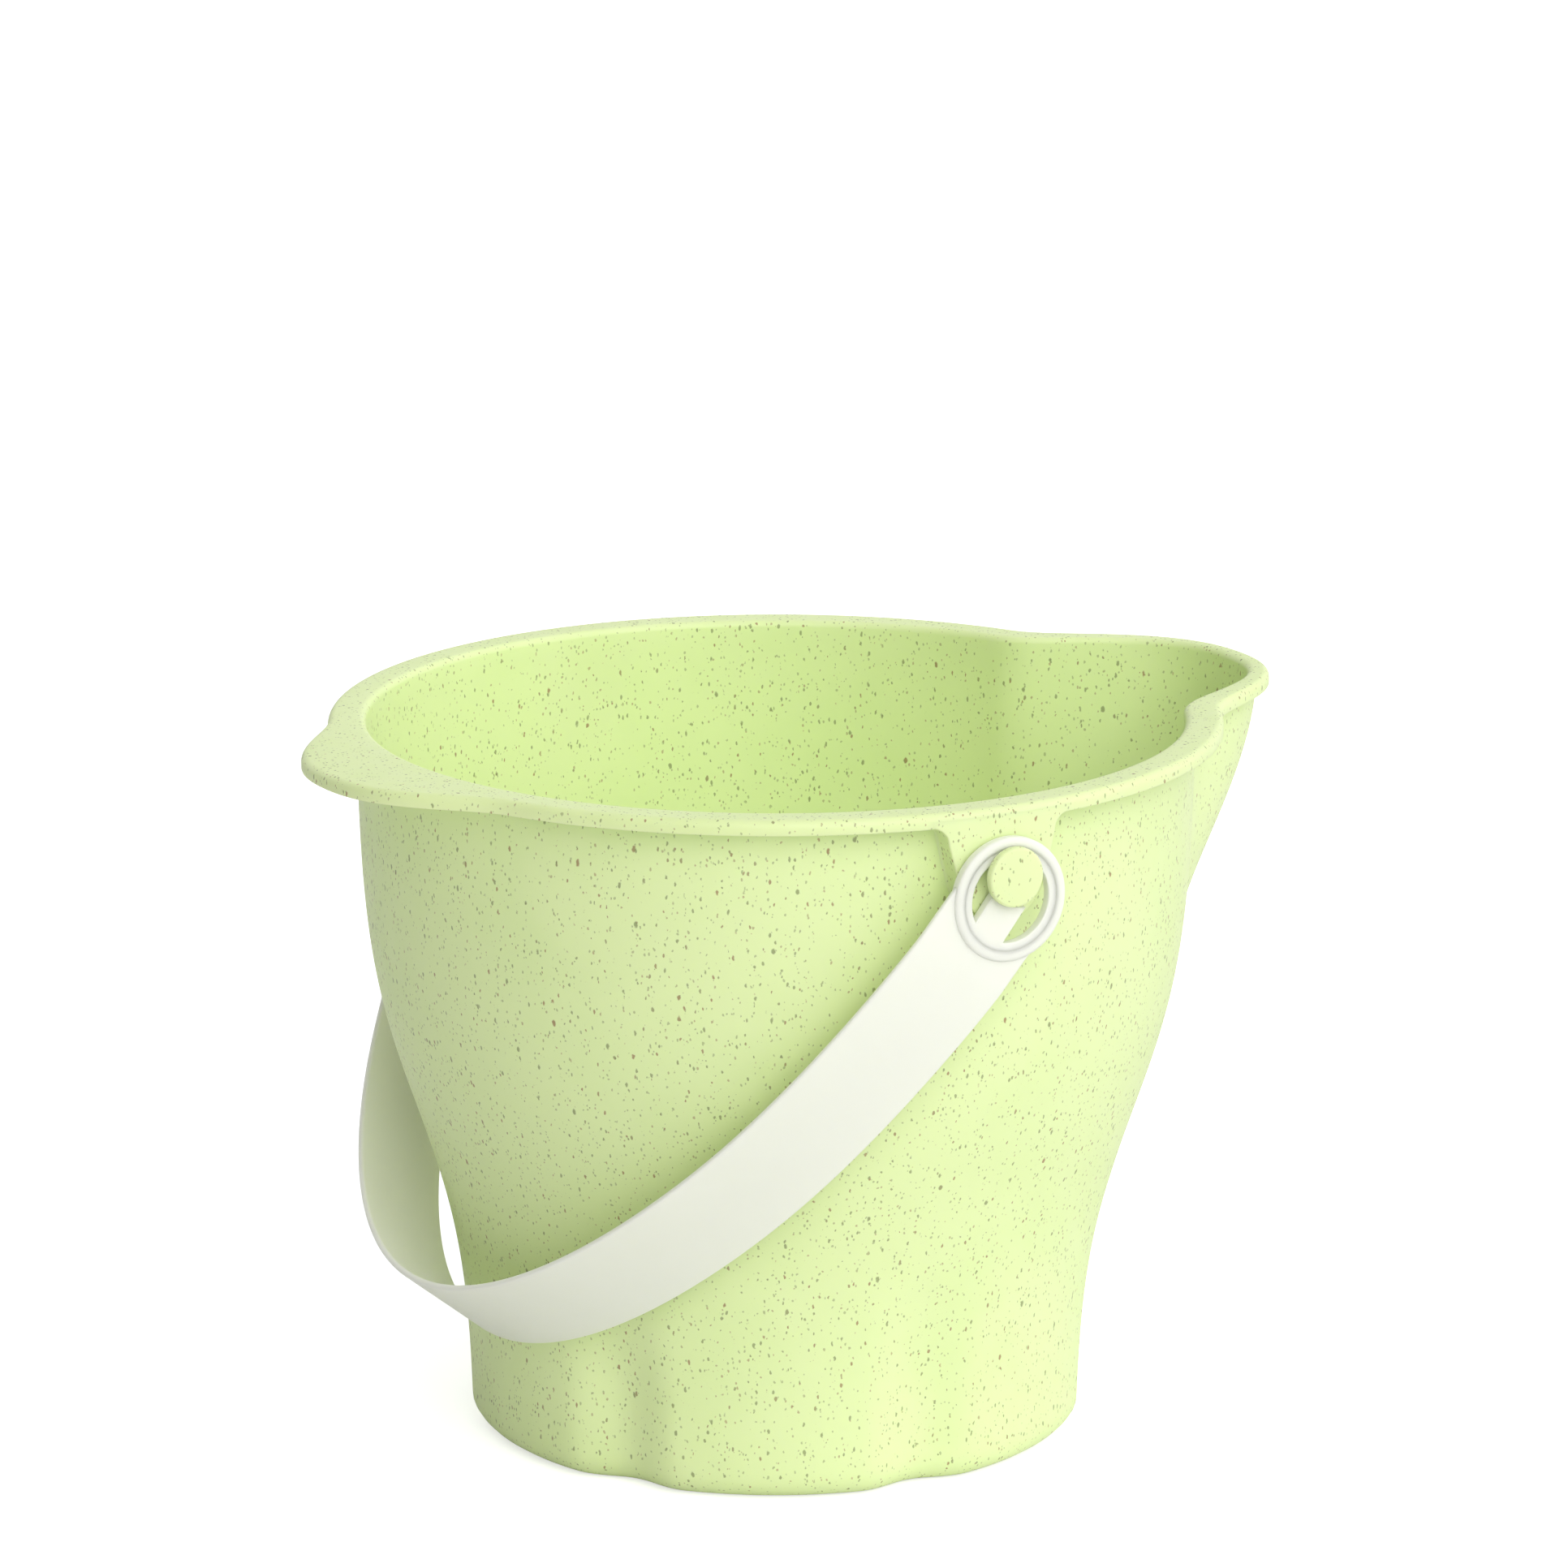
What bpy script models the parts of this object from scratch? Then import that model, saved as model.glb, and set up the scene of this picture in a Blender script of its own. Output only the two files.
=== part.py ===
"""Toy sand bucket: a moulded plastic bucket with a pouring spout, a finger tab and a hinged strap handle.

The origin is the middle of the flat underside. +Z is up, +X points at the spout, -X at the finger tab,
and the handle's hinge axis runs along Y through the two moulded pegs. All sizes are in metres.
"""
import math

import bmesh
import bpy
from mathutils import Vector

# Bucket wall
FOOT_RADIUS = 0.0691        # outer radius at the foot
SHOULDER_RADIUS = 0.0939    # outer radius under the flange
SHOULDER_DROP = 0.0880      # from the top down to where the wall leans out most
SHOULDER_SPREAD = 0.0360    # how gently the wall passes from foot to shoulder
BUCKET_HEIGHT = 0.1625
WALL = 0.0022
FLOOR = 0.0024
FOOT_CORNER = 0.0068        # outer rounding between underside and wall
FLOOR_CORNER = 0.0046       # inner rounding between floor and wall

# Flutes pressed into the foot
FLUTE_ANGLES = (30.5, 91.0, 149.0)  # degrees from the spout, on both sides of it
FLUTE_DEPTH = 0.0034
FLUTE_WIDTH = 0.0290
FLUTE_FULL_HEIGHT = 0.0180  # full depth up to here
FLUTE_TOP = 0.0620          # faded out here

# Flange around the mouth
FLANGE_REACH = 0.0061       # from the wall's outside to the flange's edge
FLANGE_THICKNESS = 0.0021
FLANGE_SKIRT = 0.0012       # how far the edge turns down below the flange
SKIRT_THICKNESS = 0.0010
FLANGE_EDGE_ROUND = 0.0017
MOUTH_ROUND = 0.0016        # rounding from the flange into the bucket
FLANGE_FILLET = 0.0011      # rounding from the wall to the flange's underside

# Spout at +X and finger tab at -X
SPOUT_REACH = 0.0274        # how far the spout pushes the wall out at the mouth
SPOUT_LENGTH = 0.0745       # from the top down to where the spout leaves the wall
SPOUT_HALF_ANGLE = 27.0     # degrees each side of +X
SPOUT_FLANGE_REACH = 0.0024
SPOUT_SWELL = 1.7           # lower gives a fuller spout, 2 an even swell
SIDE_SWELL = 1.25           # 1 gives spout and tab an even swell, more gives them a flatter middle
TAB_REACH = 0.0128          # how far the tab stands out past the flange
TAB_HALF_ANGLE = 26.5       # degrees each side of -X
TAB_DROOP = 0.0006          # how far the tab's tip hangs below the flange

# Hinge pegs and the pads they stand on
PEG_DROP = 0.0144           # from the top of the flange down to the hinge axis
NECK_RADIUS = 0.0036
HEAD_RADIUS = 0.0066
HEAD_THICKNESS = 0.0022
HEAD_ROUND = 0.0007
PAD_TOP_HALF_WIDTH = 0.0132
PAD_RADIUS = 0.0108         # round lower end of the pad, about the peg
PAD_ROUND_START = 12.0      # degrees below level where the round end starts
PAD_FILLET = 0.0038         # rounding from the pad's sides into the flange
PAD_STEP_BACK = 0.0002      # the pad's face lies this far inside the flange's edge
PEG_ROOT = 0.0030           # how far peg and pad reach into what they stand on

# Strap handle
STRAP_THICKNESS = 0.0015
STRAP_WIDTH = 0.0250
STRAP_PAST_SPOUT = 0.0129   # how far the swinging strap's middle line clears the wall behind the spout's tip
STRAP_STRAIGHT = 0.0160     # straight stretch next to each eye
STRAP_BOW = 1.36            # 1 gives an ellipse, more gives straighter legs
STRAP_LIFT = 0.0022         # the legs bow up by about half of this near the eyes
STRAP_LIFT_REACH = 0.0900   # the bow fades out this far from the eyes
STRAP_EDGE_ROUND = 0.0005
HANG_ANGLE = 51.8           # degrees below level on the tab's side, at rest
EYE_RADIUS = 0.0137
EYE_HOLE_RADIUS = 0.0095
EYE_THICKNESS = 0.0024
BEAD_WIDTH = 0.0024
BEAD_HEIGHT = 0.0004
TONGUE_WIDTH = 0.0086
TONGUE_CLEARANCE = 0.0028   # from the neck to the tongue's hollow end

# Clearances
EYE_GAP = 0.0004            # eye to flange edge, and eye to peg head
NECK_GAP = 0.00045          # neck to the eye's edge, where the eye hangs on it

# Fineness
SECTIONS = 72               # around the bucket
WALL_STEPS = 11             # up the wall
ROUND_STEPS = 3             # over each rounded corner
PAD_STEPS = 15              # around the pad's lower end
PEG_SECTIONS = 36
EYE_SECTIONS = 48
SLOT_STEPS = 36             # around the eye's hole
TONGUE_STEPS = 6            # across the tongue's hollow end
STRAP_STEPS = 44            # along the strap
EDGE_SEGMENTS = 2           # over the strap's rounded edges
MERGE = 0.00001
PROBE_HEIGHT = 0.0005       # how far up and down the wall's lean is measured
PROBE_ANGLE = 0.5           # how many degrees each way its turn is measured
CUTTER_DEPTH = 2.0          # a cutter's half depth, as a multiple of what it goes through
SHARP_ANGLE = 35.0          # degrees between faces from which an edge is shaded sharp
BEVEL_ANGLE = 60.0          # degrees between faces from which the strap's edges are rounded

BUCKET_GREEN = (0.79, 0.92, 0.48, 1.0)
BUCKET_ROUGHNESS = 0.5
HANDLE_IVORY = (0.93, 0.94, 0.86, 1.0)
HANDLE_ROUGHNESS = 0.42

# Directions, in degrees from the spout
SPOUT_SIDE = 0.0
PEG_SIDE = 90.0
TAB_SIDE = 180.0

SHOULDER_HEIGHT = BUCKET_HEIGHT - SHOULDER_DROP
SPOUT_FOOT_HEIGHT = BUCKET_HEIGHT - SPOUT_LENGTH
PEG_HEIGHT = BUCKET_HEIGHT - PEG_DROP
STRAP_REACH = SHOULDER_RADIUS + SPOUT_REACH + STRAP_PAST_SPOUT
EYE_INNER_FACE = SHOULDER_RADIUS + FLANGE_REACH + EYE_GAP
EYE_MIDDLE = EYE_INNER_FACE + EYE_THICKNESS / 2
HEAD_UNDERSIDE = EYE_INNER_FACE + EYE_THICKNESS + BEAD_HEIGHT + EYE_GAP
EYE_DROP = EYE_HOLE_RADIUS - NECK_RADIUS - NECK_GAP


def clear_scene():
    """Remove every object that the file starts with."""
    for item in list(bpy.data.objects):
        bpy.data.objects.remove(item)


def new_collection(name):
    """Make a collection in the scene and return it."""
    group = bpy.data.collections.new(name)
    bpy.context.scene.collection.children.link(group)
    return group


def plastic(name, colour, roughness):
    """Return a plain moulded plastic material."""
    material = bpy.data.materials.new(name)
    material.use_nodes = True
    shader = material.node_tree.nodes["Principled BSDF"]
    shader.inputs["Base Color"].default_value = colour
    shader.inputs["Roughness"].default_value = roughness
    shader.inputs["Metallic"].default_value = 0.0
    material.diffuse_color = colour
    return material


def place(bm, name, group):
    """Turn a bmesh into a smooth-shaded object in a collection."""
    bmesh.ops.recalc_face_normals(bm, faces=bm.faces)
    mesh = bpy.data.meshes.new(name)
    bm.to_mesh(mesh)
    bm.free()
    mesh.shade_smooth()
    mesh.set_sharp_from_angle(angle=math.radians(SHARP_ANGLE))
    item = bpy.data.objects.new(name, mesh)
    group.objects.link(item)
    return item


def as_cutter(item):
    """Mark an object as a Boolean's tool, which the finished model leaves out."""
    item.hide_render = True
    item.display_type = "WIRE"
    return item


def combine(item, tool, operation):
    """Add an exact Boolean of a tool to an object."""
    modifier = item.modifiers.new(operation.title() + "_" + tool.name, "BOOLEAN")
    modifier.operation = operation
    modifier.solver = "EXACT"
    modifier.object = tool


def bump(angle, centre, half_angle):
    """Return 1 at a centre angle, easing to 0 at half_angle each side of it; angles in degrees."""
    away = abs((angle - centre + 180.0) % 360.0 - 180.0)
    if away >= half_angle:
        return 0.0
    return math.cos(math.pi / 2 * (away / half_angle) ** SIDE_SWELL) ** 2


def ease(value, start, end):
    """Return 0 before start, 1 after end, and a smooth step between them."""
    t = min(max((value - start) / (end - start), 0.0), 1.0)
    return t * t * (3.0 - 2.0 * t)


def flute(angle, height):
    """Return how deep the foot's flutes are at an angle and a height."""
    half_angle = math.degrees(FLUTE_WIDTH / 2 / FOOT_RADIUS)
    from_spout = abs((angle + 180.0) % 360.0 - 180.0)
    away = min(abs(from_spout - centre) for centre in FLUTE_ANGLES)
    shape = math.cos(math.pi / 2 * min(away / half_angle, 1.0)) ** 2
    return FLUTE_DEPTH * shape * (1.0 - ease(height, FLUTE_FULL_HEIGHT, FLUTE_TOP))


def outside(angle, height):
    """Return the wall's outer radius at an angle in degrees and a height."""
    middle = (SHOULDER_RADIUS + FOOT_RADIUS) / 2
    swing = (SHOULDER_RADIUS - FOOT_RADIUS) / 2
    radius = middle + swing * math.tanh((height - SHOULDER_HEIGHT) / SHOULDER_SPREAD)
    rise = (height - SPOUT_FOOT_HEIGHT) / (BUCKET_HEIGHT - SPOUT_FOOT_HEIGHT)
    spout = SPOUT_REACH * math.sin(math.pi / 2 * min(max(rise, 0.0), 1.0)) ** SPOUT_SWELL
    return radius + spout * bump(angle, SPOUT_SIDE, SPOUT_HALF_ANGLE) - flute(angle, height)


def inside(angle, height):
    """Return the wall's inner radius, one wall thickness in from the sloping outer face."""
    radius = outside(angle, height)
    rise = outside(angle, height + PROBE_HEIGHT) - outside(angle, height - PROBE_HEIGHT)
    lean = rise / (2 * PROBE_HEIGHT)
    swing = outside(angle + PROBE_ANGLE, height) - outside(angle - PROBE_ANGLE, height)
    turn = swing / (radius * math.radians(2 * PROBE_ANGLE))
    return radius - WALL * math.sqrt(1.0 + lean * lean + turn * turn)


def arc(radius, height, size, start, end, steps):
    """Return points on a round corner, as (radius, height), between two angles in degrees."""
    turns = [math.radians(start + (end - start) * i / steps) for i in range(steps + 1)]
    return [(radius + size * math.cos(a), height + size * math.sin(a)) for a in turns]


def shell_section(angle):
    """Return the bucket's section at an angle, from the underside up, over the flange and down inside."""
    top = BUCKET_HEIGHT
    under = top - FLANGE_THICKNESS
    wall_top = outside(angle, under)
    spout = bump(angle, SPOUT_SIDE, SPOUT_HALF_ANGLE)
    tab = bump(angle, TAB_SIDE, TAB_HALF_ANGLE)
    reach = FLANGE_REACH + (SPOUT_FLANGE_REACH - FLANGE_REACH) * spout
    edge = SHOULDER_RADIUS + (wall_top - outside(PEG_SIDE, under)) + reach + TAB_REACH * tab

    foot = outside(angle, FOOT_CORNER)
    points = arc(foot - FOOT_CORNER, FOOT_CORNER, FOOT_CORNER, -90.0, 0.0, ROUND_STEPS)
    rise = under - FLANGE_FILLET - FOOT_CORNER
    heights = [FOOT_CORNER + rise * i / WALL_STEPS for i in range(1, WALL_STEPS)]
    points += [(outside(angle, height), height) for height in heights]

    rim = arc(wall_top + FLANGE_FILLET, under - FLANGE_FILLET, FLANGE_FILLET, 180.0, 90.0, ROUND_STEPS)
    skirt = edge - SKIRT_THICKNESS
    rim += [(skirt, under), (skirt, under - FLANGE_SKIRT), (edge, under - FLANGE_SKIRT)]
    rim += arc(edge - FLANGE_EDGE_ROUND, top - FLANGE_EDGE_ROUND, FLANGE_EDGE_ROUND, 0.0, 90.0, ROUND_STEPS)
    mouth = inside(angle, under)
    rim += arc(mouth + MOUTH_ROUND, top - MOUTH_ROUND, MOUTH_ROUND, 90.0, 180.0, ROUND_STEPS)
    droop = TAB_DROOP * tab / (edge - wall_top)
    points += [(r, z - droop * max(r - wall_top, 0.0)) for r, z in rim]

    corner = FLOOR + FLOOR_CORNER
    drop = top - MOUTH_ROUND - corner
    heights = [corner + drop * (1.0 - i / WALL_STEPS) for i in range(1, WALL_STEPS)]
    points += [(inside(angle, height), height) for height in heights]
    points += arc(inside(angle, corner) - FLOOR_CORNER, corner, FLOOR_CORNER, 0.0, -90.0, ROUND_STEPS)
    return points


def loft_shell(group):
    """Loft the bucket from its sections, which differ at the flutes, the spout and the tab."""
    bm = bmesh.new()
    rings = []
    for i in range(SECTIONS):
        angle = 360.0 * i / SECTIONS
        across = Vector((math.cos(math.radians(angle)), math.sin(math.radians(angle)), 0.0))
        rings.append([bm.verts.new(across * r + Vector((0.0, 0.0, z))) for r, z in shell_section(angle)])
    for here, after in zip(rings, rings[1:] + rings[:1]):
        for low in range(len(here) - 1):
            bm.faces.new((here[low], after[low], after[low + 1], here[low + 1]))
    underside = bm.verts.new((0.0, 0.0, 0.0))
    floor = bm.verts.new((0.0, 0.0, FLOOR))
    for here, after in zip(rings, rings[1:] + rings[:1]):
        bm.faces.new((underside, after[0], here[0]))
        bm.faces.new((floor, here[-1], after[-1]))
    return place(bm, "bucket_shell", group)


def turned(name, profile, group, steps):
    """Turn a closed profile of (radius, height) points, top to bottom, about Z with a Screw modifier."""
    bm = bmesh.new()
    points = [bm.verts.new((radius, 0.0, height)) for radius, height in profile]
    for start, end in zip(points, points[1:]):
        bm.edges.new((start, end))
    mesh = bpy.data.meshes.new(name)
    bm.to_mesh(mesh)
    bm.free()
    mesh.shade_smooth()
    item = bpy.data.objects.new(name, mesh)
    group.objects.link(item)
    screw = item.modifiers.new("Turn", "SCREW")
    screw.axis = "Z"
    screw.steps = steps
    screw.render_steps = steps
    screw.use_merge_vertices = True
    screw.merge_threshold = MERGE
    return item


def flat_outline(name, outline, half_depth, group):
    """Make a closed mesh slab from a flat outline, by way of a filled and extruded 2D curve."""
    curve = bpy.data.curves.new(name, "CURVE")
    curve.dimensions = "2D"
    curve.fill_mode = "BOTH"
    curve.extrude = half_depth
    spline = curve.splines.new("POLY")
    spline.points.add(len(outline) - 1)
    for point, (x, y) in zip(spline.points, outline):
        point.co = (x, y, 0.0, 1.0)
    spline.use_cyclic_u = True
    source = bpy.data.objects.new(name + "_outline", curve)
    group.objects.link(source)
    bpy.context.view_layer.update()
    evaluated = source.evaluated_get(bpy.context.evaluated_depsgraph_get())
    mesh = bpy.data.meshes.new_from_object(evaluated)
    bm = bmesh.new()
    bm.from_mesh(mesh)
    bmesh.ops.remove_doubles(bm, verts=bm.verts, dist=MERGE)
    bpy.data.objects.remove(source)
    return place(bm, name, group)


def pad_outline():
    """Return the pad's outline as (across, height above the peg), wide at the flange and round below."""
    top = BUCKET_HEIGHT - FLANGE_THICKNESS / 2 - PEG_HEIGHT
    flange = BUCKET_HEIGHT - FLANGE_THICKNESS - FLANGE_SKIRT - PEG_HEIGHT
    wide = PAD_TOP_HALF_WIDTH + PAD_FILLET
    right = [(wide, top)] + arc(wide, flange - PAD_FILLET, PAD_FILLET, 90.0, 180.0, ROUND_STEPS)
    under = arc(0.0, 0.0, PAD_RADIUS, -PAD_ROUND_START, PAD_ROUND_START - 180.0, PAD_STEPS)
    left = [(-x, y) for x, y in reversed(right)]
    return right + under + left


def add_hinge_side(shell, side, group):
    """Join one pad and its mushroom-headed peg to the shell; side is -1 or 1 along Y."""
    face = SHOULDER_RADIUS + FLANGE_REACH - PAD_STEP_BACK
    label = "near" if side < 0 else "far"
    upright = math.radians(90.0)

    pad = as_cutter(flat_outline("pad_" + label, pad_outline(), FLANGE_REACH * CUTTER_DEPTH, group))
    pad.location = (0.0, side * face, PEG_HEIGHT)
    pad.rotation_euler = (upright, 0.0, 0.0)
    back = outside(PEG_SIDE, PEG_HEIGHT) - WALL / 2
    low, high = PEG_HEIGHT - PAD_RADIUS * CUTTER_DEPTH, BUCKET_HEIGHT
    ring = [(back, high), (face, high), (face, low), (back, low), (back, high)]
    band = as_cutter(turned("pad_band_" + label, ring, group, SECTIONS))
    combine(pad, band, "INTERSECT")

    root = face - PEG_ROOT
    tip = HEAD_UNDERSIDE + HEAD_THICKNESS
    head = arc(HEAD_RADIUS - HEAD_ROUND, tip - HEAD_ROUND, HEAD_ROUND, 90.0, 0.0, ROUND_STEPS)
    neck = [(HEAD_RADIUS, HEAD_UNDERSIDE), (NECK_RADIUS, HEAD_UNDERSIDE), (NECK_RADIUS, root), (0.0, root)]
    peg = as_cutter(turned("peg_" + label, [(0.0, tip)] + head + neck, group, PEG_SECTIONS))
    peg.location = (0.0, 0.0, PEG_HEIGHT)
    peg.rotation_euler = (-side * upright, 0.0, 0.0)

    combine(shell, pad, "UNION")
    combine(shell, peg, "UNION")


def strap_path():
    """Return the strap's middle line in the handle's own plane, as (out, along the hinge axis) points."""
    points = []
    for i in range(STRAP_STEPS + 1):
        turn = math.pi * i / STRAP_STEPS
        bow = (STRAP_REACH - STRAP_STRAIGHT) * math.sin(turn) ** STRAP_BOW
        points.append((STRAP_STRAIGHT + bow, -EYE_MIDDLE * math.cos(turn)))
    return [(0.0, -EYE_MIDDLE)] + points + [(0.0, EYE_MIDDLE)]


def leg_bow(distance):
    """Return how far the strap's middle line bows up at a distance from the line through the eyes."""
    part = min(distance / STRAP_LIFT_REACH, 1.0)
    return STRAP_LIFT * math.sin(math.pi * part) * (1.0 - part)


def slot_outline():
    """Return the eye's opening: a round hole with the snap tongue standing into it from the strap's side."""
    half = TONGUE_WIDTH / 2
    root = math.degrees(math.asin(half / EYE_HOLE_RADIUS))
    points = arc(0.0, 0.0, EYE_HOLE_RADIUS, root, 360.0 - root, SLOT_STEPS)
    hollow = NECK_RADIUS + TONGUE_CLEARANCE
    tip = math.degrees(math.asin(half / hollow))
    return points + arc(-EYE_DROP, 0.0, hollow, -tip, tip, TONGUE_STEPS)


def build_handle(group, cutters):
    """Build the strap handle with its origin on the hinge axis and its own +X running out along the strap."""
    hang = math.radians(HANG_ANGLE)
    out, down = EYE_DROP * math.sin(hang), EYE_DROP * math.cos(hang)

    bm = bmesh.new()
    low = down - STRAP_WIDTH / 2
    path = [bm.verts.new((x + out, y, low - leg_bow(x))) for x, y in strap_path()]
    line = [bm.edges.new(pair) for pair in zip(path, path[1:])]
    lifted = bmesh.ops.extrude_edge_only(bm, edges=line)["geom"]
    raised = [v for v in lifted if isinstance(v, bmesh.types.BMVert)]
    bmesh.ops.translate(bm, verts=raised, vec=(0.0, 0.0, STRAP_WIDTH))
    strap = place(bm, "strap_handle", group)
    solid = strap.modifiers.new("Thickness", "SOLIDIFY")
    solid.thickness = STRAP_THICKNESS
    solid.offset = 0.0
    solid.use_even_offset = True
    edge = strap.modifiers.new("Soft_edges", "BEVEL")
    edge.width = STRAP_EDGE_ROUND
    edge.segments = EDGE_SEGMENTS
    edge.limit_method = "ANGLE"
    edge.angle_limit = math.radians(BEVEL_ANGLE)

    half = EYE_THICKNESS / 2
    crown = EYE_RADIUS - BEAD_WIDTH / 2
    disc_profile = [(0.0, half), (EYE_RADIUS - BEAD_WIDTH, half), (crown, half + BEAD_HEIGHT),
                    (EYE_RADIUS - STRAP_EDGE_ROUND, half), (EYE_RADIUS, half - STRAP_EDGE_ROUND),
                    (EYE_RADIUS, -half), (0.0, -half)]
    upright = math.radians(90.0)
    for side, label in ((-1, "near"), (1, "far")):
        disc = as_cutter(turned("eye_" + label, disc_profile, cutters, EYE_SECTIONS))
        disc.location = (out, side * EYE_MIDDLE, down)
        disc.rotation_euler = (-side * upright, 0.0, 0.0)
        combine(strap, disc, "UNION")
        disc.parent = strap
    for side, label in ((-1, "near"), (1, "far")):
        slot = as_cutter(flat_outline("slot_" + label, slot_outline(), EYE_THICKNESS * CUTTER_DEPTH, cutters))
        slot.location = (out, side * EYE_MIDDLE, down)
        slot.rotation_euler = (upright, 0.0, 0.0)
        combine(strap, slot, "DIFFERENCE")
        slot.parent = strap

    strap.location = (0.0, 0.0, PEG_HEIGHT)
    strap.rotation_euler = (0.0, math.pi - hang, 0.0)
    return strap


def main():
    """Build the bucket and its handle."""
    clear_scene()
    parts = new_collection("sand_bucket")
    cutters = new_collection("cutters")

    shell = loft_shell(parts)
    for side in (-1, 1):
        add_hinge_side(shell, side, cutters)
    shell.data.materials.append(plastic("pale_green_plastic", BUCKET_GREEN, BUCKET_ROUGHNESS))

    handle = build_handle(parts, cutters)
    handle.data.materials.append(plastic("ivory_plastic", HANDLE_IVORY, HANDLE_ROUGHNESS))


main()
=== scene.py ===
"""Studio scene of a moulded toy sand bucket with a pouring spout, a finger tab and a hinged strap handle.

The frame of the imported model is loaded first. The green shell and the ivory strap are then rebuilt in fine
mesh work over it, in the same metres and the same place, and dressed in moulded-plastic finishes.
"""
import logging
import math
from dataclasses import dataclass, field
from enum import Enum
from typing import Callable, Iterable, Sequence

import bmesh
import bpy
from mathutils import Matrix, Vector
from mathutils.geometry import tessellate_polygon


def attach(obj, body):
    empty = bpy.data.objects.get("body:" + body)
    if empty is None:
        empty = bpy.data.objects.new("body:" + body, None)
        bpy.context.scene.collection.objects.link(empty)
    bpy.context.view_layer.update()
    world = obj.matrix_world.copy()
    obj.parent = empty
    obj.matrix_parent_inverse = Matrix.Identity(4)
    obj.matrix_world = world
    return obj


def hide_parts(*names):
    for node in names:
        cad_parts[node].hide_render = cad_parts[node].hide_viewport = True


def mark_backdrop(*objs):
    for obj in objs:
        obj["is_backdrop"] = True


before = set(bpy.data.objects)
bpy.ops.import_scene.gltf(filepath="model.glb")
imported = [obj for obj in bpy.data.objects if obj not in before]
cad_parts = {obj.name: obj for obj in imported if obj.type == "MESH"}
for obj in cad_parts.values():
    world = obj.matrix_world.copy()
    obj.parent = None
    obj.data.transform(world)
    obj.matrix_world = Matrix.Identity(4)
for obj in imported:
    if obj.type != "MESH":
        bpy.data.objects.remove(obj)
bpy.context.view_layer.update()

LOG = logging.getLogger("sand_bucket")

Point2 = tuple[float, float]
Point3 = tuple[float, float, float]
Colour = tuple[float, float, float, float]
Placer = Callable[[float, float, float], Point3]
Socket = bpy.types.NodeSocket

SPOUT_SIDE = 0.0           # degrees round the bucket
PEG_SIDE = 90.0
TAB_SIDE = 180.0
PROBE_HEIGHT = 0.0005      # small steps that the lean and turn of the wall are read from, metres and degrees
PROBE_ANGLE = 0.5
CRISP = 50.0               # edges that turn by more degrees than this stay crisp, on lofted pieces
CRISP_SMALL = 60.0         # the same on small pieces with tight roundings
WHITE = (1.0, 1.0, 1.0, 1.0)


class Side(Enum):
    """The two ends of the hinge axis, as signs along Y."""

    NEAR = -1
    FAR = 1


class BodyName(Enum):
    """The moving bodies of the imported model."""

    BUCKET = "bucket"
    HANDLE = "handle"


class SlotName(Enum):
    """The material slots of the record."""

    SHELL = "shell_green"
    STRAP = "handle_ivory"


# ---------------------------------------------------------------------------------------------
# Small geometry helpers
# ---------------------------------------------------------------------------------------------


def smooth_step(value: float, start: float, end: float) -> float:
    """Ease from 0 to 1.

    Args:
        value: the place to look at.
        start: where the rise begins.
        end: where the rise ends.

    Returns:
        0 before start, 1 after end, and a smooth step between them.
    """
    t = min(max((value - start) / (end - start), 0.0), 1.0)
    return t * t * (3.0 - 2.0 * t)


def arc(x: float, y: float, radius: float, start: float, end: float, steps: int) -> list[Point2]:
    """Sample a circular arc.

    Args:
        x: centre, across.
        y: centre, up.
        radius: the arc's radius.
        start: first angle in degrees.
        end: last angle in degrees.
        steps: number of stretches between the points.

    Returns:
        steps + 1 points from start to end.
    """
    turns = (math.radians(start + (end - start) * i / steps) for i in range(steps + 1))
    return [(x + radius * math.cos(t), y + radius * math.sin(t)) for t in turns]


def outward_ways(outline: Sequence[Point2]) -> list[Point2]:
    """Find which way each point of a closed outline moves when the outline grows.

    Args:
        outline: the points, anticlockwise.

    Returns:
        For each point, the move that shifts both its edges outward by one unit, or less at a sharp corner.
    """
    edges = []
    for (xa, ya), (xb, yb) in zip(outline, outline[1:] + outline[:1]):
        size = math.hypot(xb - xa, yb - ya)
        edges.append(((yb - ya) / size, (xa - xb) / size))
    ways = []
    for (ax, ay), (bx, by) in zip(edges[-1:] + edges[:-1], edges):
        x, y = ax + bx, ay + by
        scale = 2.0 / max(x * x + y * y, 1.0)
        ways.append((x * scale, y * scale))
    return ways


def spread(start: float, end: float, steps: int) -> list[float]:
    """Return the places strictly between start and end that divide it into equal steps."""
    return [start + (end - start) * i / steps for i in range(1, steps)]


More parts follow.
